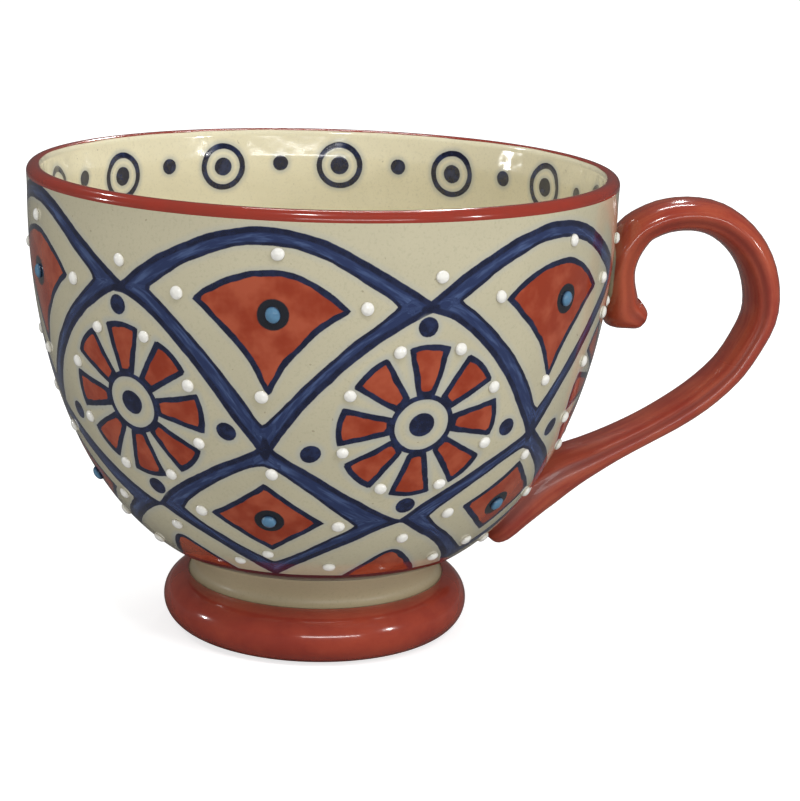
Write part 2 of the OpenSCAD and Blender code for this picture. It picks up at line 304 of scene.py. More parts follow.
FAN = (
    ((-11.3, 14.5), (-8.0, 12.6), (-4.7, 11.4), (-1.7, 10.7), (2.4, 10.5), (5.8, 11.3), (9.5, 13.2),
     (12.4, 15.3), (14.8, 17.6)),
    ((11.2, 19.9), (7.0, 23.7), (3.7, 27.6), (1.7, 31.0), (0.3, 33.8)),
    ((-0.8, 32.2), (-2.6, 28.7), (-4.7, 25.4), (-8.0, 21.9), (-11.3, 18.7), (-13.8, 16.6)),
)
DIAMOND = (
    ((-6.2, 56.2), (-12.5, 60.8)),
    ((-6.8, 65.7), (-1.4, 70.1)),
    ((3.6, 65.7), (9.0, 61.5)),
    ((3.4, 56.6), (-1.5, 52.2)),
)
SKIRT = (
    ((-6.4, 78.6), (-4.3, 74.4), (-1.8, 71.0), (0.2, 70.0), (2.2, 71.0), (4.9, 74.4), (7.4, 78.6),
     (8.8, 84.0)),
    ((-8.4, 84.0),),
)
PETAL = (
    ((15.0, -4.0),),
    ((15.6, -1.4), (15.6, 1.4), (15.0, 4.0)),
    ((5.6, 1.75),),
    ((5.6, -1.75),),
)
PETALS = 8
WHEEL_CENTRE = (-0.1, 39.5)
WHEEL_RING = (5.1, 6.15)
HUB_R = 2.4
SPOTS = ((-1.1, 20.6), (-0.3, 57.5), (18.7, 42.3), (-19.8, 45.2))
SPOT_R = 1.87
FAN_BEAD = (1.1, 18.5)
DIAMOND_BEAD = (-1.2, 61.5)
BEAD_GROUND_R = 2.85
FRIEZE_COUNT = 13
FRIEZE_FIRST_DEG = 80.7
BULLSEYE_DEPTH = 7.7
BULLSEYE_RING = (3.85, 5.05)
BULLSEYE_HUB_R = 2.0
FRIEZE_SPOT_DEPTH = 7.4
FRIEZE_SPOT_R = 1.7
OUTLINE_W = 1.1 * MM
BAND_EDGE_OUT = 1.15
BAND_EDGE_IN = 0.65
WAIST_LINE_W = 3.5
SOFT_STEPS = 6

# How far the brush strayed in each column, across and down, from the even pattern. It fades down the
# wall, save in the diamonds, wheels and spots.
CELL_HAND = ((1.2, -0.6), (-1.0, 0.8), (0.6, 0.5), (1.3, -1.6), (0, 0), (-3.0, 0.6))
FILL_HAND = ((0.5, -0.3), (-0.4, 0.3), (0.3, 0.2), (0.9, -1.0), (0, 0), (-2.6, 0.2))
DIAMOND_HAND = ((0.3, -0.2), (-0.3, 0.3), (0.2, 0.3), (0, 0), (0, 0), (0.9, -1.0))
WHEEL_HAND = ((0.3, -0.2), (-0.2, 0.3), (0.2, 0.4), (0.4, -0.8), (-0.2, 0.0), (0.1, -0.3))
SPOT_HAND = ((0.4, -0.3), (-0.6, 0.4), (0.3, 0.3), (1.0, -0.7), (0, 0), (-0.4, 0.3))
FRIEZE_HAND = ((0, 0), (0, 0.3), (0, 0.7), (0.2, 0.5), (0, -0.2), (0.3, 0.2))
HAND_FADE = 44
# A distance that is past every painted edge, and the length of outline that each column counts for
FAR = 30.0
COLUMN_STROKE = 40


def smooth_side(points):
    """A smooth line through points, with free ends."""
    p = np.array(points, float)
    if len(p) < 3:
        return p[:-1]
    return np.vstack(smooth_spans(np.vstack([2 * p[0] - p[1], p, 2 * p[-1] - p[-2]]), SOFT_STEPS))


def closed_shape(sides):
    """One closed outline from smooth sides that meet at corners."""
    pairs = zip((sides[-1], *sides), sides)
    return np.vstack([smooth_side((before[-1], *side)) for before, side in pairs])


def shape_distance(x, y, outline):
    """Distance to a closed outline, negative inside, and how far along it the nearest place lies."""
    best = np.full(len(x), np.inf)
    along = np.zeros(len(x))
    inside = np.zeros(len(x), bool)
    walked = 0.0
    for (ax, ay), (bx, by) in zip(outline, np.roll(outline, -1, axis=0)):
        dx, dy = bx - ax, by - ay
        size = math.hypot(dx, dy)
        if size == 0:
            continue
        h = np.clip(((x - ax) * dx + (y - ay) * dy) / size ** 2, 0, 1)
        gap = np.hypot(x - ax - h * dx, y - ay - h * dy)
        near = gap < best
        best = np.where(near, gap, best)
        along = np.where(near, walked + h * size, along)
        if ay != by:
            crossing = ((ay > y) != (by > y)) & (x < (bx - ax) * (y - ay) / (by - ay) + ax)
            inside ^= crossing
        walked += size
    return np.where(inside, -best, best), along


def column(angle, radius, first_deg, count):
    """Distance round the wall from the nearest of several even columns, and that column's number."""
    pitch = FULL_TURN / count
    turns = (angle - math.radians(first_deg)) / pitch
    number = np.round(turns)
    return (turns - number) * pitch * radius / MM, number


def astray(x, down, number, hand, fade=True):
    """Places on the wall, less how far the hand strayed in their column."""
    share = np.clip(1 - down / HAND_FADE, 0, 1) if fade else 1
    shift = np.array(hand)[number.astype(int) % REPEATS]
    return x - shift[:, 0] * share, down - shift[:, 1] * share


def disc(x, y, centre, radius):
    """Distance to a filled disc."""
    return np.hypot(x - centre[0], y - centre[1]) - radius


def paint_ornament(obj):
    """Stores how far every point of the bowl lies from each kind of painted edge, in millimetres."""
    p = coordinates(obj)
    radius = np.hypot(p[:, 0], p[:, 1])
    depth = MUG_H - p[:, 2]
    angle = np.arctan2(p[:, 1], p[:, 0])
    outside = radius > wall_r(depth) - WALL_T / 2
    at_waist = depth > MUG_H - WAIST_H - MERGE
    outside |= at_waist
    steps, length = wall_walk(0)
    down = np.interp(depth, steps, length) / MM
    wall_len = length[-1] / MM
    down = np.where(at_waist & (radius < WAIST_R - MERGE), wall_len + (WAIST_R - radius) / MM, down)

    x_fan, fan_number = column(angle, radius, FIRST_FAN_DEG, REPEATS)
    x_wheel, wheel_number = column(angle, radius, FIRST_WHEEL_DEG, REPEATS)
    along = np.zeros(len(p))
    nearest = np.full(len(p), np.inf)
    for odd, name in enumerate(("even", "odd")):
        x, number = column(angle, radius, FIRST_FAN_DEG + odd * 360 / REPEATS, REPEATS // 2)
        x, y = astray(x, down, 2 * number + odd, CELL_HAND)
        for label, cell in (("fan", FAN_CELL), ("diamond", DIAMOND_CELL)):
            gap, walked = shape_distance(x, y, closed_shape(cell))
            along = np.where(np.abs(gap) < nearest, walked + COLUMN_STROKE * fan_number, along)
            nearest = np.minimum(nearest, np.abs(gap))
            point_values(obj, f"{name}_{label}_mm", np.where(outside, gap, FAR))
    x, y = astray(x_fan, down, fan_number, CELL_HAND)
    holes = [shape_distance(x, y, closed_shape(hole))[0] for hole in (FAN_HOLE, DIAMOND_HOLE)]

    fan, _ = shape_distance(*astray(x_fan, down, fan_number, FILL_HAND), closed_shape(FAN))
    x, y = astray(x_fan, down, fan_number, DIAMOND_HAND, fade=False)
    diamond, _ = shape_distance(x, y, closed_shape(DIAMOND))
    skirt, _ = shape_distance(x_wheel, down, closed_shape(SKIRT))
    x, y = x_wheel - WHEEL_CENTRE[0], down - WHEEL_CENTRE[1]
    x, y = astray(x, y, wheel_number, WHEEL_HAND, fade=False)
    reach = np.hypot(x, y)
    spoke = np.arctan2(y, x)
    spoke -= np.round(spoke / (FULL_TURN / PETALS)) * (FULL_TURN / PETALS)
    petal, _ = shape_distance(reach * np.cos(spoke), reach * np.sin(spoke), closed_shape(PETAL))

    x, y = astray(x_wheel, down, wheel_number, SPOT_HAND, fade=False)
    spots = np.minimum.reduce([disc(x, y, spot, SPOT_R) for spot in SPOTS])
    beads = np.minimum(*(disc(x_fan, down, spot, BEAD_GROUND_R) for spot in (FAN_BEAD, DIAMOND_BEAD)))
    x, _ = column(angle, radius, FRIEZE_FIRST_DEG + 180 / FRIEZE_COUNT, FRIEZE_COUNT)
    inner_spots = disc(x, depth / MM, (0, FRIEZE_SPOT_DEPTH), FRIEZE_SPOT_R)
    x, number = column(angle, radius, FRIEZE_FIRST_DEG, FRIEZE_COUNT)
    x, y = astray(x, depth / MM, number, FRIEZE_HAND, fade=False)
    eye = disc(x, y, (0, BULLSEYE_DEPTH), 0)

    fill = np.minimum.reduce([fan, diamond, skirt, petal])
    for name, gap, inner_gap in (
        ("hole", np.minimum(*holes), FAR), ("fill", fill, FAR), ("bead", beads, FAR),
        ("wheel", reach, FAR), ("waist", np.abs(wall_len - down), FAR),
        ("spot", spots, inner_spots), ("eye", FAR, eye),
    ):
        point_values(obj, f"{name}_mm", np.where(outside, gap, inner_gap))
    point_values(obj, "along_mm", along)
    point_values(obj, "within", ~outside)


# Materials. Sizes of noise are how far apart its blobs lie; bumps are heights; the rest are shares.

CLAY_DRIFT = 22 * MM
CLAY_GRAIN = 0.55 * MM
CLAY_SPECK = 0.9 * MM
CLAY_SHADE = 0.93
GRAIN_SHADE = 0.80
GRAIN_SHARE = 0.55
SPECK_BROWN = (0.16, 0.12, 0.08)
SPECK_SHARE = 0.4
GLAZE_WAVE = 9 * MM
GLAZE_FINE = 0.7 * MM
# The brush: its slow and its quick wobble, each as size of noise and millimetres of sway
HAND_WOBBLE = (3.4 * MM, 0.32)
TREMOR = (0.9 * MM, 0.10)
INK_WOBBLE = 0.8
OUTLINE_WOBBLE = 0.5
PAINT_POOL = 2.2 * MM
PAINT_STREAK = (0.12, 1.3)
THINNING = 0.8
RED_CLOUD = 5.5 * MM
# Soft edges of the paint in millimetres, and how far and how strongly its blue bled into the glaze
EDGE = 0.09
BEAD_EDGE = 0.14
CORE_EDGE_OUT = 0.22
CORE_EDGE_IN = 0.16
PAINT_BUMP_EDGE = 0.3
BAND_BLEED = (1.5, 0.42)
HOLE_BLEED = (1.3, 0.42)
FILL_BLEED = (1.2, 0.4)
INK_BLEED = (0.9, 0.35)
PAINT_BUMP = 0.35
BOWL_BUMP = 0.06 * MM
RIPPLE = 4.2 * MM
RIPPLE_OUT = 0.3
RIPPLE_IN = 3.2
RED_BUMP = 0.08 * MM
LIP_CLOUD = 5 * MM
FOOT_CLOUD = 12 * MM
FOOT_BUMP = 0.05 * MM
# Heights between which the foot's glaze gives way to bare clay
BARE_CLAY_H = (0.6 * MM, 1.4 * MM)
STRAP_STREAK = 0.05
STRAP_CLOUD = 8 * MM
STRAP_FINE = 0.6 * MM
STRAP_RAGGED = 0.3
STRAP_EDGE = 0.15
CHANNEL_SHARE = 0.7
DOT_FINE = 0.5 * MM
DOT_WAVE = 0.9 * MM
DOT_BUMP = 0.22 * MM
SLIP_BUMP = 0.03 * MM


class Recipe:
    """Adds nodes to one material or world, each call giving the socket that the next one takes."""

    def __init__(self, owner):
        owner.use_nodes = True
        self.owner = owner
        self.tree = owner.node_tree
        self.tree.nodes.clear()
        self.place = None

    @classmethod
    def material(cls, name):
        """The recipe of a new material, with the place of each point on its piece."""
        recipe = cls(bpy.data.materials.new(name))
        recipe.place = recipe.node("ShaderNodeTexCoord").outputs["Object"]
        return recipe

    def node(self, kind, inputs=None, **settings):
        """A node with its settings, its inputs linked or set. Colours are red, green and blue."""
        node = self.tree.nodes.new(kind)
        for key, value in settings.items():
            setattr(node, key, value)
        for key, value in (inputs or {}).items():
            socket = node.inputs[key]
            if isinstance(value, bpy.types.NodeSocket):
                self.tree.links.new(value, socket)
            else:
                socket.default_value = (*value, 1.0) if socket.type == "RGBA" else value
        return node

    def math(self, operation, *values):
        """One arithmetic step."""
        return self.node("ShaderNodeMath", dict(enumerate(values)), operation=operation).outputs[0]

    def mix(self, share, first, second):
        """A colour between two colours."""
        return self.node("ShaderNodeMix", {0: share, 6: first, 7: second}, data_type="RGBA").outputs[2]

    def attribute(self, name):
        """A number stored on the piece."""
        return self.node("ShaderNodeAttribute", attribute_name=name).outputs["Fac"]

    def height(self):
        """The height above the table."""
        return self.node("ShaderNodeSeparateXYZ", {0: self.place}).outputs[2]

    def pair(self, x, x_scale, y, y_scale=None):
        """A place made of two numbers, each times its scale."""
        x = self.math("MULTIPLY", x, x_scale)
        y = y if y_scale is None else self.math("MULTIPLY", y, y_scale)
        return self.node("ShaderNodeCombineXYZ", {0: x, 1: y, 2: 0.0}).outputs[0]

    def sum(self, first, second, share=1.0):
        """A number and a share of a second one."""
        if share != 1:
            second = self.math("MULTIPLY", second, share)
        return self.math("ADD", first, second)

    def noise(self, size, detail=2.0, roughness=0.5, vector=None):
        """Soft noise whose blobs are about one size across, by the place or by another vector."""
        inputs = {"Vector": vector or self.place, "Scale": 1 / size}
        inputs |= {"Detail": detail, "Roughness": roughness}
        return self.node("ShaderNodeTexNoise", inputs).outputs["Fac"]

    def spread(self, value, low, high, to_low=0.0, to_high=1.0, smooth=True):
        """A value carried from one range to another."""
        inputs = {"Value": value, "From Min": low, "From Max": high}
        inputs |= {"To Min": to_low, "To Max": to_high}
        kind = "SMOOTHSTEP" if smooth else "LINEAR"
        return self.node("ShaderNodeMapRange", inputs, interpolation_type=kind).outputs["Result"]

    def hoop(self, reach, radii):
        """Distance to a ring between two radii, from the distance to its centre."""
        middle, half = sum(radii) / 2, (radii[1] - radii[0]) / 2
        return self.math("SUBTRACT", self.math("ABSOLUTE", self.math("SUBTRACT", reach, middle)), half)

    def inside(self, distance, soft=EDGE):
        """1 where a distance is negative, 0 where it is positive, with a soft edge."""
        return self.spread(distance, -soft, soft, 1.0, 0.0)

    def bleed(self, distance, reach_and_share):
        """How strongly paint bled into the glaze at a distance past its edge."""
        reach, share = reach_and_share
        return self.spread(distance, 0.0, reach, share, 0.0)

    def swell(self, height, distance):
        """A bump whose full height is a distance."""
        inputs = {"Height": height, "Distance": distance, "Strength": 1.0}
        return self.node("ShaderNodeBump", inputs).outputs["Normal"]

    def waves(self, distance):
        """Slow waves of a glaze that ran a little before it set."""
        return self.swell(self.noise(GLAZE_WAVE, 1.0), distance)

    def finish(self, tone, roughness, normal, coat=0.0, coat_roughness=0.03):
        """The glazed surface and its output, with the material that they finish."""
        inputs = {"Base Color": tone, "Roughness": roughness, "Normal": normal}
        inputs |= {"Coat Weight": coat, "Coat Roughness": coat_roughness}
        shader = self.node("ShaderNodeBsdfPrincipled", inputs)
        self.node("ShaderNodeOutputMaterial", {"Surface": shader.outputs[0]})
        return self.owner


def shaded(tone, share):
    """A colour darkened to a share."""
    return tuple(share * c for c in tone)


def clay_body(r, cream):
    """Warm cream stoneware with a fine grain and a few dark specks."""
    drift = r.noise(CLAY_DRIFT, 3.0)
    grain = r.noise(CLAY_GRAIN, 2.0, 0.7)
    speck = r.noise(CLAY_SPECK, 0.0)
    tone = r.mix(r.spread(drift, 0.3, 0.7), shaded(cream, CLAY_SHADE), cream)
    tone = r.mix(r.spread(grain, 0.5, 0.72, 0.0, GRAIN_SHARE), tone, shaded(cream, GRAIN_SHADE))
    return r.mix(r.spread(speck, 0.84, 0.87, 0.0, SPECK_SHARE), tone, SPECK_BROWN)


def painted_stoneware(colours, outline_mm):
    """Cream stoneware under clear gloss, with the painted lattice, fans, wheels and diamonds."""
    r = Recipe.material("painted_stoneware")
    within = r.attribute("within")
    body = clay_body(r, colours.cream)
    # Inside the bowl the same cream is painted lighter: painted light on the inner wall
    body = r.mix(within, body, clay_body(r, colours.inner_cream))
    bleed = colours.bleed

    # Distances to the painted edges, as the hand wobbled
    hand = r.math("SUBTRACT", r.noise(HAND_WOBBLE[0], 1.0), 0.5)
    tremor = r.math("SUBTRACT", r.noise(TREMOR[0], 1.0), 0.5)
    wobble = r.sum(r.math("MULTIPLY", hand, HAND_WOBBLE[1]), tremor, TREMOR[1])
    cells = [
        r.math("ADD", r.attribute(f"{turn}_{cell}_mm"), wobble)
        for turn in ("even", "odd") for cell in ("fan", "diamond")
    ]
    band, rim = cells[0], r.hoop(cells[0], (-BAND_EDGE_OUT, 0))
    for cell in cells[1:]:
        band = r.math("MINIMUM", band, cell)
        rim = r.math("MINIMUM", rim, r.hoop(cell, (-BAND_EDGE_OUT, 0)))
    hole = r.math("SUBTRACT", r.attribute("hole_mm"), wobble)
    fill = r.math("ADD", r.attribute("fill_mm"), wobble)
    ink = r.attribute("spot_mm")
    rounds = (("wheel", WHEEL_RING, HUB_R), ("eye", BULLSEYE_RING, BULLSEYE_HUB_R))
    for name, ring, hub_r in rounds:
        reach = r.attribute(f"{name}_mm")
        ink = r.math("MINIMUM", ink, r.hoop(reach, ring))
        ink = r.math("MINIMUM", ink, r.math("SUBTRACT", reach, hub_r))
    ink = r.sum(ink, wobble, INK_WOBBLE)

    # The lattice: navy edges round a cobalt core, streaked along the stroke
    along_scale, streak_scale = PAINT_STREAK
    stroke = r.pair(r.attribute("along_mm"), along_scale, band)
    streak = r.noise(1 / streak_scale, 3.0, 0.6, stroke)
    pool = r.noise(PAINT_POOL, 3.0, 0.6)
    navy = r.mix(r.spread(pool, 0.35, 0.75), colours.navy, colours.navy_light)
    cobalt = r.mix(r.spread(streak, 0.44, 0.72), colours.cobalt, colours.cobalt_light)
    nearest = r.math("MINIMUM", band, r.math("MINIMUM", fill, ink))
    tone = r.mix(r.bleed(nearest, BAND_BLEED), body, bleed)
    tone = r.mix(r.inside(band), tone, navy)
    thinning = r.math("MULTIPLY", r.math("SUBTRACT", streak, 0.5), THINNING)
    core_out = r.inside(r.math("SUBTRACT", thinning, rim), CORE_EDGE_OUT)
    core_in = r.inside(r.math("SUBTRACT", BAND_EDGE_IN, r.sum(hole, thinning, 0.5)), CORE_EDGE_IN)
    core = r.math("MULTIPLY", r.math("MULTIPLY", core_out, core_in), r.inside(band))
    tone = r.mix(core, tone, cobalt)
    reach, share = HOLE_BLEED
    inner_cream = r.mix(r.spread(hole, -reach, 0.0, 0.0, share), body, bleed)
    tone = r.mix(r.inside(hole), tone, inner_cream)

    # The fills: red in a navy outline
    tone = r.mix(r.bleed(fill, FILL_BLEED), tone, bleed)
    tone = r.mix(r.inside(fill), tone, navy)
    red = r.spread(r.noise(RED_CLOUD, 3.0, 0.55), 0.35, 0.68)
    red = r.mix(red, colours.red, colours.red_light)
    outline = r.sum(outline_mm, hand, OUTLINE_WOBBLE)
    tone = r.mix(r.inside(r.math("ADD", fill, outline)), tone, red)

    # Spots, rings, the ground under the beads, and the dark waist line, whose red is a painted
    # reflection of the foot ring
    near_ink = r.math("MULTIPLY", r.bleed(ink, INK_BLEED), r.spread(fill, 0.0, 0.4))
    tone = r.mix(near_ink, tone, bleed)
    spot = r.mix(r.spread(pool, 0.45, 0.8), navy, colours.cobalt)
    tone = r.mix(r.inside(ink), tone, spot)
    ground = r.inside(r.math("ADD", r.attribute("bead_mm"), wobble), BEAD_EDGE)
    tone = r.mix(ground, tone, colours.bead_ground)
    waist = r.math("SUBTRACT", r.attribute("waist_mm"), WAIST_LINE_W)
    tone = r.mix(r.inside(r.math("ADD", waist, wobble)), tone, colours.waist)

    painted = r.math("MAXIMUM", r.inside(ink, PAINT_BUMP_EDGE), r.inside(fill, PAINT_BUMP_EDGE))
    ripple = r.math("MULTIPLY", r.noise(RIPPLE, 1.0), r.sum(RIPPLE_OUT, within, RIPPLE_IN))
    height = r.math("ADD", r.noise(GLAZE_WAVE, 1.0), r.sum(ripple, painted, PAINT_BUMP))
    roughness = r.spread(pool, 0.2, 0.8, 0.10, 0.17)
    return r.finish(tone, roughness, r.swell(height, BOWL_BUMP), coat=0.6, coat_roughness=0.04)


def plain_stoneware(colours):
    """The foot's clay: cream glaze on its neck with painted shade and a painted red reflection, bare
    and matt at the table.
    """
    r = Recipe.material("foot_stoneware")
    bare = r.spread(r.height(), *BARE_CLAY_H, 1.0, 0.0)
    tone = r.mix(bare, clay_body(r, colours.neck), colours.clay)
    roughness = r.spread(bare, 0.0, 1.0, 0.34, 0.75)
    return r.finish(tone, roughness, r.waves(FOOT_BUMP), coat=0.1, coat_roughness=0.2)


def red_glaze(name, deep, bright, cloud_size):
    """Glossy iron-red glaze, thin and orange where it breaks, deeper where it pools."""
    r = Recipe.material(name)
    cloud = r.noise(cloud_size, 4.0, 0.6)
    fine = r.noise(GLAZE_FINE, 2.0, 0.7)
    tone = r.mix(r.spread(cloud, 0.34, 0.68), deep, bright)
    tone = r.mix(r.spread(fine, 0.5, 0.75, 0.0, 0.25), tone, deep)
    roughness = r.spread(cloud, 0.2, 0.8, 0.12, 0.2)
    return r.finish(tone, roughness, r.waves(RED_BUMP), coat=0.7, coat_roughness=0.05)


def handle_glaze(colours):
    """Red glaze that ran down the strap: streaked, darker in the channels, glossier higher up."""
    r = Recipe.material("handle_red_glaze")
    flow = r.pair(r.attribute("along_mm"), STRAP_STREAK, r.attribute("round_deg"), STRAP_STREAK)
    streak = r.noise(1.0, 4.0, 0.6, flow)
    cloud = r.noise(STRAP_CLOUD, 3.0)
    fine = r.noise(STRAP_FINE, 2.0, 0.7)
    share = r.sum(r.math("MULTIPLY", streak, 0.6), cloud, 0.4)
    deep = colours.handle_deep
    tone = r.mix(r.spread(share, 0.38, 0.62), colours.handle_red, colours.handle_orange)
    tone = r.mix(r.spread(r.attribute("channel"), 0.0, 1.0, 0.0, CHANNEL_SHARE), tone, deep)
    tone = r.mix(r.attribute("root"), tone, colours.handle_root)
    tone = r.mix(r.spread(fine, 0.5, 0.75, 0.0, 0.2), tone, deep)
    ragged = r.spread(cloud, 0.2, 0.8, -STRAP_RAGGED, STRAP_RAGGED, smooth=False)
    unglazed = r.inside(r.math("ADD", r.attribute("glaze_mm"), ragged), STRAP_EDGE)
    tone = r.mix(unglazed, tone, clay_body(r, colours.cream))
    height = r.height()
    roughness = r.spread(height, 0.0, MUG_H, 0.46, 0.14, smooth=False)
    coat = r.spread(height, 0.0, MUG_H, 0.0, 0.55, smooth=False)
    return r.finish(tone, roughness, r.waves(RED_BUMP), coat=coat, coat_roughness=0.06)


def dot_glaze(name, top, edge):
    """A glossy drop of coloured slip, a little darker round its foot."""
    r = Recipe.material(name)
    fine = r.noise(DOT_FINE, 2.0)
    tone = r.mix(r.spread(r.attribute("rise"), 0.05, 0.6), edge, top)
    tone = r.mix(r.spread(fine, 0.5, 0.8, 0.0, 0.2), tone, edge)
    roughness = r.spread(fine, 0.3, 0.7, 0.08, 0.2)
    normal = r.swell(r.noise(DOT_WAVE, 1.0), DOT_BUMP)
    return r.finish(tone, roughness, normal, coat=0.5, coat_roughness=0.05)


def slip_matt(name, tone):
    """Fired slip that shows as a thin line at a joint."""
    r = Recipe.material(name)
    return r.finish(clay_body(r, tone), 0.6, r.waves(SLIP_BUMP))


# Foot

RING_R = 5.4 * MM
FOOT_W = 9.1 * MM
NECK_TOP_R = WAIST_R - 1 * MM
COVE_AIM = (WAIST_R - 7.8 * MM, 2 * RING_R + 1.6 * MM)
RECESS_DRAFT = 3.3 * MM
RECESS_WALL_H = 8 * MM
RECESS_H = 10 * MM
GLAZE_T = 0.3 * MM
GLAZE_FROM_DEG = -72
GLAZE_TO_DEG = 86
GLAZE_THIN_DEG = 3
# The clay steps in under the glaze this far inside the glaze's edges
GLAZE_LET_IN_DEG = 4
GLAZE_STEPS = (48, 40)
RING_STEPS = 4
RECESS_STEPS = 10
COVE_STEPS = 24
BASE_EDGE = ((0.6 * MM, 0.9 * MM), (0.2 * MM, 0.25 * MM))
FOOT_TURNS = 240


def foot_profile(glaze_t):
    """Section of the foot: base, round ring let in under its glaze, cove, top and recess."""
    ring_c = (FOOT_R - RING_R, RING_R)
    recess_r = FOOT_R - FOOT_W
    recess_top = recess_r - RECESS_DRAFT
    inset = RING_R - glaze_t / 2
    cove_deg = GLAZE_TO_DEG + GLAZE_LET_IN_DEG
    start = arc(ring_c, RING_R, cove_deg, cove_deg, 0)[0]
    glazed = (GLAZE_FROM_DEG + GLAZE_LET_IN_DEG, GLAZE_TO_DEG - GLAZE_LET_IN_DEG)
    recess = ((recess_top / 2, RECESS_H), (recess_top, RECESS_H), (recess_top, RECESS_WALL_H))
    return (
        [(recess_r, 0)]
        + arc(ring_c, RING_R, -90, GLAZE_FROM_DEG, RING_STEPS)
        + arc(ring_c, inset, *glazed, GLAZE_STEPS[1])
        + bend(start, COVE_AIM, (NECK_TOP_R, FOOT_TOP), COVE_STEPS)
        + [(0, FOOT_TOP), (0, RECESS_H)]
        + bend(*recess, RECESS_STEPS)
        + [(recess_r - back, rise) for back, rise in BASE_EDGE]
    )


def foot_glaze_profile(glaze_t):
    """Section of the red glaze on the foot ring, thinning out at both edges."""
    ring_c = (FOOT_R - RING_R, RING_R)
    back_deg = (GLAZE_TO_DEG - GLAZE_THIN_DEG, GLAZE_FROM_DEG + GLAZE_THIN_DEG)
    back = arc(ring_c, RING_R - glaze_t, *back_deg, GLAZE_STEPS[1])
    return arc(ring_c, RING_R, GLAZE_FROM_DEG, GLAZE_TO_DEG, GLAZE_STEPS[0]) + back


# Handle

ARCH_DEPTH = 8.5 * MM
TAIL_PAST = 0.5 * MM
HANDLE_DROP = MUG_H - WAIST_H - ARCH_DEPTH + TAIL_PAST
HANDLE_REACH = 33.78 * MM
STRAP_T = 6.9 * MM
STRAP_W = 13.4 * MM
# Stations from the spur to the tail: shares of the reach, the drop, the thickness and the width
STRAP_SHARES = (
    (0.283, 0.345, 0.09, 0.2), (0.281, 0.343, 0.29, 0.42), (0.275, 0.339, 0.49, 0.58),
    (0.265, 0.333, 0.67, 0.7), (0.247, 0.326, 0.86, 0.8), (0.205, 0.317, 1.1, 0.88),
    (0.162, 0.303, 1.22, 0.92), (0.137, 0.28, 1.11, 0.94), (0.127, 0.258, 1, 0.95),
    (0.101, 0.209, 0.9, 0.96), (0.088, 0.164, 0.93, 0.97), (0.103, 0.117, 0.96, 0.98),
    (0.149, 0.072, 0.96, 0.99), (0.214, 0.042, 0.9, 1), (0.343, 0.015, 0.92, 1),
    (0.504, 0.008, 0.95, 1), (0.656, 0.025, 1.01, 1), (0.803, 0.074, 1.03, 1),
    (0.917, 0.145, 1.02, 1), (0.988, 0.229, 0.99, 1), (1.015, 0.313, 0.93, 1),
    (0.982, 0.394, 0.87, 1), (0.92, 0.478, 0.85, 0.99), (0.817, 0.552, 0.86, 0.98),
    (0.691, 0.614, 0.86, 0.96), (0.556, 0.666, 0.83, 0.95), (0.424, 0.712, 0.89, 0.96),
    (0.306, 0.754, 1.07, 0.99), (0.198, 0.794, 1.34, 1.01), (0.128, 0.842, 1.46, 1.01),
    (0.112, 0.89, 1.31, 0.99), (0.112, 0.928, 1.21, 0.96), (0.122, 0.954, 1.16, 0.92),
    (0.14, 0.977, 1.05, 0.81), (0.154, 0.995, 0.75, 0.57), (0.159, 1, 0.26, 0.21),
)
STRAP_CUTS = 8
STRAP_RINGS = (len(STRAP_SHARES) - 1) * STRAP_CUTS + 1
SPUR_RINGS = 6 * STRAP_CUTS
STRAP_SIDES = 72
SECTION_POWER = 2.2
# The channel along each side and the shallow flute behind it: angle and half width in degrees
CHANNEL_DEG = (103, 14)
FLUTE_DEG = (134, 12)
FLUTE_BACK_DEG = (134, 14)
CHANNEL_CUT = 0.055
FLUTE_CUT = 0.012
FLUTE_BACK_CUT = 0.02
# The same two as they are stained by deeper glaze
CHANNEL_STAIN_DEG = (103, 12)
FLUTE_STAIN_DEG = (134, 10)
FLUTE_STAIN = 0.35
# Where the strap meets the wall
FILLET = 1.1 * MM
FLARE_SIDE = 0.75
FLARE_FACE = 0.5
SEAT_GAP = 0.02 * MM
ROOT_REACH = 9 * MM
ROOT_SHARE = 0.75
# Depths at which the spur's glaze stops short of the wall, and by how many millimetres
GLAZE_STOP_DEPTHS = (14 * MM, 24 * MM, 30 * MM)
GLAZE_STOPS = (0.8, 1.7, 1.5)
GLAZED = 9


def strap_path(strap_t, strap_w):
    """Stations along the strap (radius, height, thickness, width), and the length walked to each."""
    rows = []
    for out, drop, thick, wide in STRAP_SHARES:
        depth = ARCH_DEPTH + drop * HANDLE_DROP
        reach = float(wall_r(depth)) + out * HANDLE_REACH
        rows.append((reach, MUG_H - depth, thick * strap_t, wide * strap_w))
    rows = np.array(rows)
    path = np.vstack(smooth_spans(np.vstack([rows[0], rows, rows[-1]]), STRAP_CUTS) + [rows[-1:]])
    walked = np.concatenate([[0], np.cumsum(np.hypot(*np.diff(path[:, :2], axis=0).T))])
    return path, walked


def hump(turn, middle_and_half):
    """A smooth bump of height 1 round one angle, with its half width."""
    middle, half = middle_and_half
    return np.exp(-((turn - middle) / half) ** 2)


def squared(wave):
    """A wave with fuller shoulders, so that a round section comes nearer to an oblong."""
    return np.sign(wave) * np.abs(wave) ** (2 / SECTION_POWER)


def strap_section(turn):
    """Shares of half thickness and half width round the strap, and how deep in a channel it is."""
    fold = np.where(turn > 180, 360 - turn, turn)
    thick = squared(np.cos(np.radians(turn))) * (1 - FLUTE_BACK_CUT * hump(fold, FLUTE_BACK_DEG))
    cut = 1 - CHANNEL_CUT * hump(fold, CHANNEL_DEG) - FLUTE_CUT * hump(fold, FLUTE_DEG)
    wide = squared(np.sin(np.radians(turn))) * cut
    return thick, wide, hump(fold, CHANNEL_STAIN_DEG) + FLUTE_STAIN * hump(fold, FLUTE_STAIN_DEG)


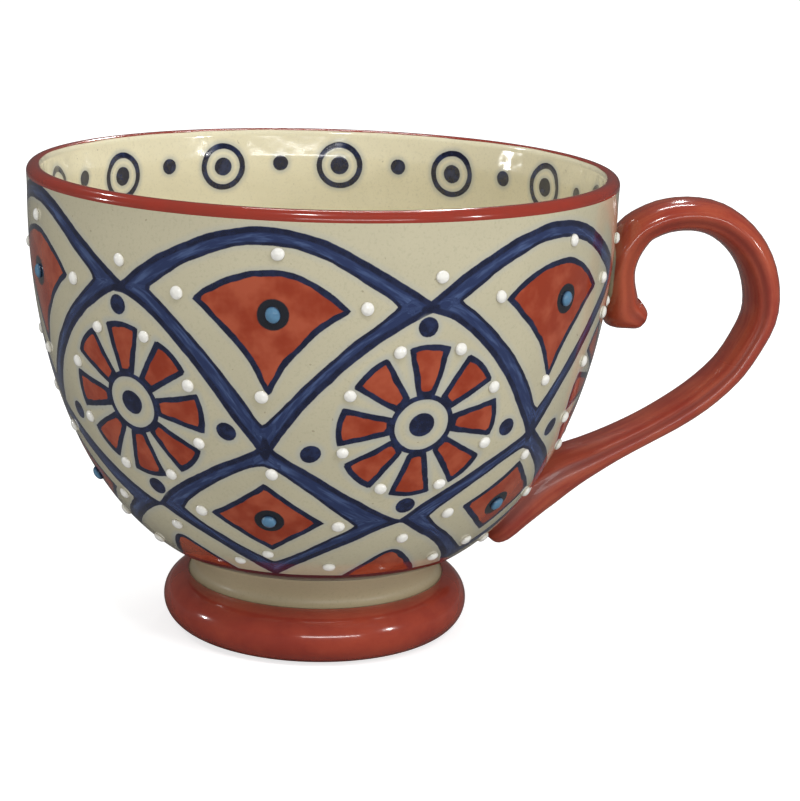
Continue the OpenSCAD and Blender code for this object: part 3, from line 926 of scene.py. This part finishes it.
def bend_strap(obj, strap_t, strap_w):
    """Bends an upright tube 1 long and 1 in radius along the strap's path and onto the wall."""
    p = coordinates(obj)
    station = np.rint((p[:, 2] + 0.5) * (STRAP_RINGS - 1)).astype(int)
    middle = np.hypot(p[:, 0], p[:, 1]) < 0.5
    turn = np.degrees(np.arctan2(p[:, 1], p[:, 0])) % 360
    path, walked = strap_path(strap_t, strap_w)
    turned = np.maximum(station, SPUR_RINGS)
    ahead = path[np.minimum(turned + 1, STRAP_RINGS - 1), :2] - path[turned - 1, :2]
    ahead /= np.linalg.norm(ahead, axis=1)[:, None]
    out = np.stack([-ahead[:, 1], ahead[:, 0]], 1)
    here = path[station]
    thick, wide, channel = strap_section(turn)
    thick = np.where(middle, 0, thick) * here[:, 2] / 2
    wide = np.where(middle, 0, wide) * here[:, 3] / 2
    x = here[:, 0] + out[:, 0] * thick
    z = here[:, 1] + out[:, 1] * thick
    clear = np.hypot(x, wide) - wall_r(MUG_H - z)
    close = np.clip(1 - clear / FILLET, 0, 1)
    flare = FILLET * (1 - np.sqrt(1 - close ** 2)) * FLARE_SIDE
    side = np.abs(wide) / (here[:, 3] / 2)
    wide = wide + np.sign(wide) * flare * side
    x = x + np.where(clear < FILLET, out[:, 0] * np.sign(thick) * flare * (1 - side) * FLARE_FACE, 0)
    away = np.hypot(x, wide)
    seat = wall_r(MUG_H - z) + SEAT_GAP
    push = np.where(away < seat, seat / away, 1)
    place_vertices(obj, np.stack([x * push, wide * push, z], 1))
    point_values(obj, "along_mm", walked[station] / MM)
    point_values(obj, "round_deg", turn)
    point_values(obj, "channel", np.clip(channel, 0, 1))
    upper = z > MUG_H / 2
    root = np.clip(1 - (x - wall_r(MUG_H - z)) / ROOT_REACH, 0, 1) * upper
    point_values(obj, "root", ROOT_SHARE * root)
    stop = np.interp(MUG_H - z, GLAZE_STOP_DEPTHS, GLAZE_STOPS)
    point_values(obj, "glaze_mm", np.where(upper, (away * push - seat) / MM - stop, GLAZED))


# Raised dots

DOT_R = 1.3 * MM
DOT_H = 0.8 * MM
BEAD_R = 1.6 * MM
BEAD_H = 1.0 * MM
DOT_SEGMENTS = 20
DOT_RINGS = 14
DOT_SHOULDER = 0.9
DOT_SIZES = (0.86, 1.0)
BEAD_SEED = 20
SLOPE_STEP = 0.05 * MM
# Where a dot would lie under a joint of the handle: shares of its drop, and room beside the strap
UPPER_JOINT = (0.02, 0.38)
LOWER_JOINT = 0.72
JOINT_ROOM = 0.8 * MM
WHEEL_DOT_R = 15.1
DOT_CENTRE = (-0.2, 39.0)
CROSSING_DOTS = ((0.9, 11.6),)
FAN_DOTS = ((1.9, 7.7), (-16.7, 16.0), (17.5, 17.0), (-1.1, 34.0))
DIAMOND_DOTS = ((0.1, 50.0), (-14.4, 60.8), (11.4, 62.3), (-2.4, 71.6))
SKIRT_DOTS = ((1.2, 66.5), (-10.5, 75.5), (10.8, 75.3))
WHEEL_DOTS = tuple(
    (DOT_CENTRE[0] + WHEEL_DOT_R * math.cos(FULL_TURN * (k + 0.5) / PETALS),
     DOT_CENTRE[1] + WHEEL_DOT_R * math.sin(FULL_TURN * (k + 0.5) / PETALS))
    for k in range(PETALS)
)


def drop_form(radius, height):
    """One drop of slip, standing on the ground plane: half a ball, fuller at its shoulder."""
    bpy.ops.object.select_all(action="DESELECT")
    bpy.ops.mesh.primitive_uv_sphere_add(segments=DOT_SEGMENTS, ring_count=DOT_RINGS, radius=1)
    obj = bpy.context.object
    bpy.ops.object.mode_set(mode="EDIT")
    bpy.ops.mesh.select_all(action="SELECT")
    bpy.ops.mesh.bisect(plane_co=(0, 0, 0), plane_no=(0, 0, 1), clear_inner=True, use_fill=True)
    bpy.ops.object.mode_set(mode="OBJECT")
    p = coordinates(obj)
    rise = np.clip(p[:, 2], 0, 1)
    p[:, 2] = rise ** DOT_SHOULDER * height
    p[:, :2] *= radius
    place_vertices(obj, p)
    point_values(obj, "rise", rise)
    return obj


def wall_spot(angle, down_mm):
    """A drop's seat, square to the wall at a length down it, with the radius and depth there."""
    steps, length = wall_walk(0)
    depth = float(np.interp(down_mm * MM, length, steps))
    slope = float(wall_r(depth - SLOPE_STEP) - wall_r(depth + SLOPE_STEP)) / (2 * SLOPE_STEP)
    radius = float(wall_r(depth))
    turned = Matrix.Rotation(angle, 4, "Z")
    lean = Matrix.Rotation(math.pi / 2 + math.atan(slope), 4, "Y")
    return turned @ Matrix.Translation((radius, 0, MUG_H - depth)) @ lean, radius, depth


def meets_handle(angle, radius, depth):
    """Whether a dot there would lie under a joint of the handle."""
    share = (depth - ARCH_DEPTH) / HANDLE_DROP
    at_joint = UPPER_JOINT[0] < share < UPPER_JOINT[1] or share > LOWER_JOINT
    beside = abs(radius * math.sin(angle)) > STRAP_W / 2 + DOT_R + JOINT_ROOM
    return at_joint and math.cos(angle) > 0 and not beside


def set_drops(first_deg, spots, radius, height, seed):
    """Copies of one drop on the wall, each pressed on a little differently, joined as one piece."""
    master = drop_form(radius, height)
    hand = np.random.default_rng(seed)
    copies = []
    for number in range(REPEATS):
        for x, down in spots:
            _, at, _ = wall_spot(0, down)
            angle = math.radians(first_deg + 360 / REPEATS * number) + x * MM / at
            seat, at, depth = wall_spot(angle, down)
            size = Matrix.Diagonal((*hand.uniform(*DOT_SIZES, 3), 1))
            turn = hand.uniform(0, math.pi)
            if meets_handle(angle, at, depth):
                continue
            shape = Matrix.Rotation(turn, 4, "Z") @ size @ Matrix.Rotation(-turn, 4, "Z")
            copy = master.copy()
            copy.data = master.data.copy()
            copy.data.transform(seat @ shape)
            bpy.context.collection.objects.link(copy)
            copies.append(copy)
    bpy.ops.object.select_all(action="DESELECT")
    for copy in copies:
        copy.select_set(True)
    bpy.context.view_layer.objects.active = copies[0]
    bpy.ops.object.join()
    bpy.data.objects.remove(master)
    return copies[0]


# Stage

LENS_MM = 99
SENSOR_MM = 36
NEAR_CLIP = 0.01
CAMERA_PLACE = Vector((-0.0436, -0.4264, 0.1534))
# The photograph's right and toward the viewer, as level directions on the table
IMAGE_RIGHT = Vector((0.9903, -0.1392, 0))
TOWARD_VIEWER = Vector((-0.1392, -0.9903, 0))
UP = Vector((0, 0, 1))
# The camera's own directions, as shares of the photograph's right, of up and of toward the viewer
CAMERA_RIGHT = (0.99948, 0.03122, -0.00781)
CAMERA_FORWARD = (0, -0.24260, -0.97013)
FLOOR_SIZE = 12
FLOOR_GAP = 0.02 * MM

# How bright the floor and the sky are for each kind of ray
FLOOR_FOR_CAMERA = (0.58, 0.58, 0.58)
FLOOR_FOR_MUG = (0.60, 0.60, 0.60)
FLOOR_FOR_GLOSS = (0.12, 0.12, 0.12)
FLOOR_GLOW = 0.70
SKY_LIGHT = 0.49
SKY_GLOSS = 0.08
WHITE = (1, 1, 1)

# Lamps: name, turn and height in degrees round the mug, distance, width, depth and power
LAMP_AIM = Vector((0, 0, 0.05))
LAMPS = (
    ("front_window", -84, 8, 1.7, 1.3, 0.11, 5.0),
    ("high_softbox", -64, 55, 2.0, 0.6, 0.6, 9),
    ("right_softbox", -45, 36, 2.0, 0.5, 0.5, 5),
    ("far_strip", 79, 57, 1.5, 0.55, 0.05, 3),
    ("far_lamp_left", 148, 44, 1.5, 0.08, 0.08, 1.6),
    ("far_lamp_right", 75, 36, 1.5, 0.08, 0.08, 1.4),
    ("right_lamp", -38, 15, 1.5, 0.09, 0.09, 2.4),
    ("left_lamp", 176, 6, 1.5, 0.09, 0.09, 2.0),
    ("high_lamp", -105, 60, 1.5, 0.16, 0.12, 3.5),
)
HIDDEN_IN_GLOSS = ("high_softbox", "right_softbox")


def studio_paper():
    """White paper: plain grey for light on the mug, darker in its gloss, and white to the camera."""
    r = Recipe(bpy.data.materials.new("studio_paper"))
    rays = r.node("ShaderNodeLightPath").outputs
    seen = rays["Is Camera Ray"]
    grey = r.mix(rays["Is Glossy Ray"], FLOOR_FOR_MUG, FLOOR_FOR_GLOSS)
    lit = r.node("ShaderNodeBsdfDiffuse", {"Color": r.mix(seen, grey, FLOOR_FOR_CAMERA)})
    strength = r.math("MULTIPLY", seen, FLOOR_GLOW)
    glow = r.node("ShaderNodeEmission", {"Color": WHITE, "Strength": strength})
    both = r.node("ShaderNodeAddShader", {0: lit.outputs[0], 1: glow.outputs[0]})
    r.node("ShaderNodeOutputMaterial", {"Surface": both.outputs[0]})
    return r.owner


def studio_sky():
    """An even sky, dim in gloss and white to the camera."""
    r = Recipe(bpy.data.worlds.new("studio"))
    rays = r.node("ShaderNodeLightPath").outputs
    strength = r.spread(rays["Is Glossy Ray"], 0.0, 1.0, SKY_LIGHT, SKY_GLOSS, smooth=False)
    strength = r.spread(rays["Is Camera Ray"], 0.0, 1.0, strength, 1.0, smooth=False)
    light = r.node("ShaderNodeBackground", {"Color": WHITE, "Strength": strength})
    r.node("ShaderNodeOutputWorld", {"Surface": light.outputs[0]})
    return r.owner


def studio_lamp(name, turn, height, away, width, depth, power):
    """One flat lamp, aimed at the mug."""
    data = bpy.data.lights.new(name, "AREA")
    data.shape = "RECTANGLE"
    data.size = width
    data.size_y = depth
    data.energy = power
    lamp = bpy.data.objects.new(name, data)
    turn, height = math.radians(turn), math.radians(height)
    level = away * math.cos(height)
    lamp.location = (level * math.cos(turn), level * math.sin(turn), away * math.sin(height))
    lamp.rotation_euler = (LAMP_AIM - lamp.location).to_track_quat("-Z", "Y").to_euler()
    lamp.visible_glossy = name not in HIDDEN_IN_GLOSS
    return lamp


def camera_turn():
    """The camera's rotation, from the photograph's axes."""
    axes = (IMAGE_RIGHT, UP, TOWARD_VIEWER)
    right, forward = (
        sum((share * axis for share, axis in zip(shares, axes)), Vector()).normalized()
        for shares in (CAMERA_RIGHT, CAMERA_FORWARD)
    )
    up = right.cross(forward).normalized()
    right = forward.cross(up).normalized()
    return Matrix((right, up, -forward)).transposed().to_4x4()


def measure(name, description, default):
    """A size that a user may change."""
    return bpy.props.FloatProperty(name=name, description=description, default=default, unit="LENGTH")


def tint(name, description, default):
    """A colour that a user may change."""
    return bpy.props.FloatVectorProperty(
        name=name, description=description, default=default, subtype="COLOR")


class MugSizes(bpy.types.PropertyGroup):
    """Sizes of the strap, the raised dots, the glaze and the brush."""

    strap_w: measure("Strap width", "Width of the handle's strap", STRAP_W)
    strap_t: measure("Strap thickness", "Thickness of the handle's strap", STRAP_T)
    dot_r: measure("Dot radius", "Radius of a white slip dot", DOT_R)
    dot_h: measure("Dot height", "Height of a white slip dot", DOT_H)
    bead_r: measure("Bead radius", "Radius of a turquoise bead", BEAD_R)
    bead_h: measure("Bead height", "Height of a turquoise bead", BEAD_H)
    glaze_t: measure("Glaze thickness", "Thickness of the red glaze on lip and foot ring", GLAZE_T)
    outline_w: measure("Outline width", "Width of the dark line round the red fills", OUTLINE_W)


class MugColours(bpy.types.PropertyGroup):
    """Colours of the clay, the paint and the glazes."""

    cream: tint("Cream", "Stoneware under clear glaze", (0.54, 0.497, 0.349))
    # Inner cream is the bowl's cream painted lighter, as painted light on the inner wall
    inner_cream: tint("Inner cream", "Paler glaze inside the bowl", (0.80, 0.74, 0.535))
    clay: tint("Clay", "Bare fired clay", (0.50, 0.42, 0.30))
    navy: tint("Navy", "Painted outlines", (0.009, 0.012, 0.034))
    navy_light: tint("Thin navy", "Outlines where the brush ran thin", (0.017, 0.024, 0.066))
    cobalt: tint("Cobalt", "Middle of the lattice", (0.021, 0.034, 0.098))
    cobalt_light: tint("Thin cobalt", "Lattice where the brush ran thin", (0.064, 0.100, 0.220))
    # Neck is the cream painted darker and browner: painted shade under the bowl and a painted
    # reflection of the red foot ring
    neck: tint("Neck", "Stoneware on the neck above the foot ring", (0.47, 0.395, 0.255))
    # Waist line is dark paint with a painted reflection of the red foot ring mixed into its colour
    waist: tint("Waist line", "Dark line where bowl meets foot", (0.040, 0.012, 0.030))
    bead_ground: tint("Bead ground", "Dark paint under the beads", (0.014, 0.016, 0.022))
    bleed: tint("Bleed", "Blue that ran into the glaze beside the paint", (0.40, 0.42, 0.40))
    red: tint("Red", "Painted fills", (0.285, 0.036, 0.012))
    red_light: tint("Light red", "Painted fills where they are thin", (0.40, 0.080, 0.036))
    handle_red: tint("Handle red", "Glaze on the strap", (0.30, 0.042, 0.025))
    handle_orange: tint("Handle orange", "Glaze on the strap where it breaks", (0.40, 0.080, 0.040))
    handle_deep: tint("Handle deep", "Glaze pooled in the channels", (0.17, 0.026, 0.016))
    handle_root: tint("Handle root", "Orange at the upper joint", (0.38, 0.078, 0.031))
    lip_red: tint("Lip red", "Glaze on the lip", (0.30, 0.036, 0.022))
    foot_red: tint("Foot red", "Glaze on the foot ring", (0.27, 0.036, 0.022))
    foot_bright: tint("Foot bright", "Glaze on the foot ring where it is thin", (0.36, 0.055, 0.028))
    dot_white: tint("Dot white", "Raised slip dots", (0.84, 0.825, 0.77))
    dot_edge: tint("Dot edge", "Foot of the slip dots", (0.72, 0.69, 0.60))
    bead_blue: tint("Bead blue", "Turquoise beads", (0.095, 0.215, 0.34))
    bead_edge: tint("Bead edge", "Foot of the beads", (0.020, 0.045, 0.09))


class MUG_OT_bowl(bpy.types.Operator):
    """Throw the bowl and paint its ornament"""

    bl_idname = "mug.bowl"
    bl_label = "Bowl"

    def execute(self, context):
        obj = spin_profile(bowl_profile(), BOWL_TURNS)
        paint_ornament(obj)
        glaze = painted_stoneware(context.scene.mug_colours, context.scene.mug_sizes.outline_w / MM)
        dress(obj, "stoneware_bowl", glaze, "stoneware", "bowl")
        return {"FINISHED"}


class MUG_OT_lip_glaze(bpy.types.Operator):
    """Lay the red glaze band over the lip"""

    bl_idname = "mug.lip_glaze"
    bl_label = "Lip glaze"

    def execute(self, context):
        colours, glaze_t = context.scene.mug_colours, context.scene.mug_sizes.glaze_t
        obj = spin_profile(lip_glaze_profile(glaze_t), LIP_GLAZE_TURNS)
        sway_edges(obj)
        glaze = red_glaze("lip_red_glaze", colours.lip_red, colours.foot_red, LIP_CLOUD)
        dress(obj, "lip_glaze", glaze, "red_glaze", "rim_glaze")
        return {"FINISHED"}


class MUG_OT_foot(bpy.types.Operator):
    """Turn the foot and glaze its ring"""

    bl_idname = "mug.foot"
    bl_label = "Foot"

    def execute(self, context):
        colours, glaze_t = context.scene.mug_colours, context.scene.mug_sizes.glaze_t
        foot = spin_profile(foot_profile(glaze_t), FOOT_TURNS)
        dress(foot, "turned_foot", plain_stoneware(colours), "stoneware", "pedestal_foot")
        skin = spin_profile(foot_glaze_profile(glaze_t), FOOT_TURNS)
        glaze = red_glaze("foot_red_glaze", colours.foot_red, colours.foot_bright, FOOT_CLOUD)
        dress(skin, "foot_ring_glaze", glaze, "red_glaze", "foot_glaze")
        return {"FINISHED"}


class MUG_OT_handle(bpy.types.Operator):
    """Pull the strap handle and press it onto the bowl"""

    bl_idname = "mug.handle"
    bl_label = "Handle"

    def execute(self, context):
        bpy.ops.object.select_all(action="DESELECT")
        bpy.ops.mesh.primitive_cylinder_add(
            vertices=STRAP_SIDES, radius=1, depth=1, end_fill_type="TRIFAN")
        obj = bpy.context.object
        bpy.ops.object.mode_set(mode="EDIT")
        bpy.ops.mesh.select_mode(type="EDGE")
        bpy.ops.mesh.select_all(action="DESELECT")
        mesh = bmesh.from_edit_mesh(obj.data)
        for edge in mesh.edges:
            low, high = (v.co.z for v in edge.verts)
            edge.select_set(abs(low - high) > 0.5)
        bmesh.update_edit_mesh(obj.data)
        bpy.ops.mesh.subdivide(number_cuts=STRAP_RINGS - 2)
        bpy.ops.object.mode_set(mode="OBJECT")
        bend_strap(obj, context.scene.mug_sizes.strap_t, context.scene.mug_sizes.strap_w)
        bpy.ops.object.mode_set(mode="EDIT")
        turn_faces_out()
        dress(obj, "strap_handle", handle_glaze(context.scene.mug_colours), "red_glaze", "handle")
        return {"FINISHED"}


class MUG_OT_slip_dots(bpy.types.Operator):
    """Trail the raised white slip dots"""

    bl_idname = "mug.slip_dots"
    bl_label = "Slip dots"

    def execute(self, context):
        colours, sizes = context.scene.mug_colours, context.scene.mug_sizes
        glaze = dot_glaze("white_slip_dot", colours.dot_white, colours.dot_edge)
        rows = (
            ("crossing", FIRST_WHEEL_DEG, CROSSING_DOTS), ("fan", FIRST_FAN_DEG, FAN_DOTS),
            ("wheel", FIRST_WHEEL_DEG, WHEEL_DOTS), ("diamond", FIRST_FAN_DEG, DIAMOND_DOTS),
            ("skirt", FIRST_WHEEL_DEG, SKIRT_DOTS),
        )
        for seed, (name, first, spots) in enumerate(rows):
            piece = set_drops(first, spots, sizes.dot_r, sizes.dot_h, seed)
            dress(piece, f"white_{name}_dots", glaze, "white_slip", f"{name}_dots")
        return {"FINISHED"}


class MUG_OT_beads(bpy.types.Operator):
    """Set the turquoise beads"""

    bl_idname = "mug.beads"
    bl_label = "Beads"

    def execute(self, context):
        colours, sizes = context.scene.mug_colours, context.scene.mug_sizes
        glaze = dot_glaze("turquoise_bead", colours.bead_blue, colours.bead_edge)
        for seed, (name, spot) in enumerate((("fan", FAN_BEAD), ("diamond", DIAMOND_BEAD))):
            piece = set_drops(FIRST_FAN_DEG, (spot,), sizes.bead_r, sizes.bead_h, BEAD_SEED + seed)
            dress(piece, f"turquoise_{name}_beads", glaze, "turquoise_enamel", f"{name}_beads")
        return {"FINISHED"}


class MUG_OT_slip_joints(bpy.types.Operator):
    """Finish the thin slip that lutes the foot and the handle"""

    bl_idname = "mug.slip_joints"
    bl_label = "Slip joints"

    def execute(self, context):
        colours = context.scene.mug_colours
        bare = slip_matt("fired_slip", colours.clay)
        # The painted slip takes the waist line's colour, with its painted reflection of the red foot
        # ring
        painted = slip_matt("painted_slip", colours.waist)
        joints = (("foot_slip", painted), ("handle_upper_slip", bare), ("handle_lower_slip", bare))
        for node, slip in joints:
            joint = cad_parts[node]
            joint.data.materials.clear()
            joint.data.materials.append(slip)
        return {"FINISHED"}


class MUG_OT_stage(bpy.types.Operator):
    """Set the floor, the lamps and the camera"""

    bl_idname = "mug.stage"
    bl_label = "Stage"

    def execute(self, context):
        scene = context.scene
        bpy.ops.object.select_all(action="DESELECT")
        bpy.ops.mesh.primitive_plane_add(size=FLOOR_SIZE, location=(0, 0, -FLOOR_GAP))
        floor = context.object
        floor.name = "studio_floor"
        floor.data.materials.append(studio_paper())
        scene.world = studio_sky()
        for row in LAMPS:
            scene.collection.objects.link(studio_lamp(*row))

        data = bpy.data.cameras.new("photo_camera")
        data.lens = LENS_MM
        data.sensor_fit = "HORIZONTAL"
        data.sensor_width = SENSOR_MM
        data.clip_start = NEAR_CLIP
        camera = bpy.data.objects.new("photo_camera", data)
        scene.collection.objects.link(camera)
        camera.matrix_world = Matrix.Translation(CAMERA_PLACE) @ camera_turn()
        scene.camera = camera
        scene.view_settings.view_transform = "Standard"
        return {"FINISHED"}


class MUG_PT_panel(bpy.types.Panel):
    """Lists the steps that make the mug"""

    bl_idname = "MUG_PT_panel"
    bl_label = "Stoneware Mug"
    bl_space_type = "VIEW_3D"
    bl_region_type = "UI"
    bl_category = "Mug"

    def draw(self, context):
        for step in STEPS:
            self.layout.operator(step.bl_idname)
        for name in MugSizes.__annotations__:
            self.layout.prop(context.scene.mug_sizes, name)
        for name in MugColours.__annotations__:
            self.layout.prop(context.scene.mug_colours, name)


STEPS = (
    MUG_OT_bowl, MUG_OT_lip_glaze, MUG_OT_foot, MUG_OT_handle, MUG_OT_slip_dots, MUG_OT_beads,
    MUG_OT_slip_joints, MUG_OT_stage,
)
CLASSES = (MugSizes, MugColours, *STEPS, MUG_PT_panel)


def register():
    """Adds the classes, the sizes and the colours to Blender."""
    for cls in CLASSES:
        bpy.utils.register_class(cls)
    bpy.types.Scene.mug_sizes = bpy.props.PointerProperty(type=MugSizes)
    bpy.types.Scene.mug_colours = bpy.props.PointerProperty(type=MugColours)


def unregister():
    """Takes them out again."""
    del bpy.types.Scene.mug_colours
    del bpy.types.Scene.mug_sizes
    for cls in reversed(CLASSES):
        bpy.utils.unregister_class(cls)


def main():
    """Makes the mug and its stage."""
    register()
    bpy.ops.mug.bowl()
    bpy.ops.mug.lip_glaze()
    bpy.ops.mug.foot()
    bpy.ops.mug.handle()
    bpy.ops.mug.slip_dots()
    bpy.ops.mug.beads()
    bpy.ops.mug.slip_joints()
    bpy.ops.mug.stage()


if __name__ == "__main__":
    main()
